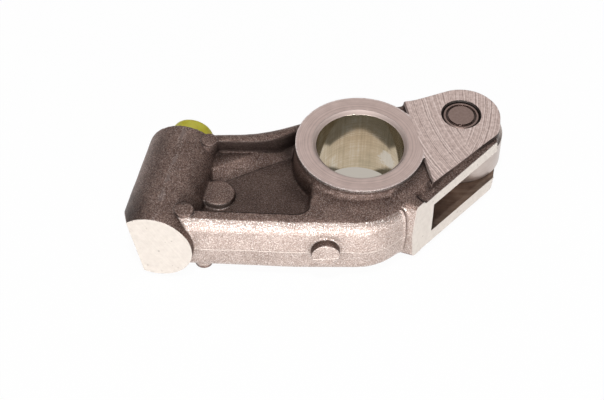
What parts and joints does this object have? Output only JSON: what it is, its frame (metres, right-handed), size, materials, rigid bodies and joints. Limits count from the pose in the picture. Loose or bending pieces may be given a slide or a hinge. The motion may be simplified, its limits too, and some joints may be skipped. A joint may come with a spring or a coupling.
{
  "type": "roller rocker arm",
  "caption": "Valve-train rocker arm with a bushed shaft ring, a forked end carrying a needle roller and a sprung lash adjuster under a plug-in plastic cap.",
  "frame": {"origin": "middle of the shaft bore, on its axis", "axes": "+Z along the shaft bore, upwards as the part lies; +X towards the roller end; +Y towards the open end of the adjuster boss"},
  "size_m": [0.1071, 0.0605, 0.024],
  "materials": {
    "casting": "as cast, dark and grainy, with milled faces",
    "bush_metal": "honed",
    "bright_steel": "ground",
    "pin_steel": "dark, with staked ends",
    "spring_steel": "drawn wire",
    "cap_plastic": "yellow-green moulded"
  },
  "bodies": {
    "arm_body": {"arm": "casting", "shaft_bush": "bush_metal", "gallery_plug": "bright_steel", "roller_pin": "pin_steel", "support_disc": "bright_steel", "adjuster_piston": "bright_steel", "ball_cage": "bright_steel", "ball_spring": "spring_steel", "return_spring": "spring_steel", "retaining_clip": "spring_steel"},
    "needle_set": {"needle_rollers": "bright_steel"},
    "roller_body": {"roller": "bright_steel"},
    "housing_body": {"adjuster_housing": "bright_steel", "piston_ring": "spring_steel"},
    "ball_body": {"check_ball": "bright_steel"},
    "foot_body": {"swivel_foot": "bright_steel"},
    "cap_body": {"protective_cap": "cap_plastic"}
  },
  "joints": [
    {"name": "roller_spin", "type": "hinge", "parent": "arm_body", "child": "roller_body", "pos_m": [0.02914, 0.0144, 0], "axis": [0, 0, 1], "continuous": true},
    {"name": "needle_orbit", "type": "hinge", "parent": "arm_body", "child": "needle_set", "pos_m": [0.02914, 0.0144, 0], "axis": [0, 0, 1], "continuous": true},
    {"name": "adjuster_slide", "type": "slide", "parent": "arm_body", "child": "housing_body", "axis": [0.1822, 0.9833, 0], "range_m": [-0.0025, 0], "stiffness_N_per_m": 2500, "springref_m": 0.004, "deforming": ["return_spring"]},
    {"name": "ball_lift", "type": "slide", "parent": "arm_body", "child": "ball_body", "axis": [0.1822, 0.9833, 0], "range_m": [0, 0.00035], "stiffness_N_per_m": 60, "springref_m": -0.001, "deforming": ["ball_spring"]},
    {"name": "foot_swivel", "type": "hinge", "parent": "housing_body", "child": "foot_body", "pos_m": [-0.0493, 0.00726, 0], "axis": [0, 0, 1], "range_deg": [-7, 7]},
    {"name": "cap_pull", "type": "slide", "parent": "arm_body", "child": "cap_body", "axis": [0.1822, 0.9833, 0], "range_m": [0, 0.012]}
  ],
  "couplings": [
    {"joint": "needle_orbit", "follows": "roller_spin", "ratio": 0.5782}
  ]
}
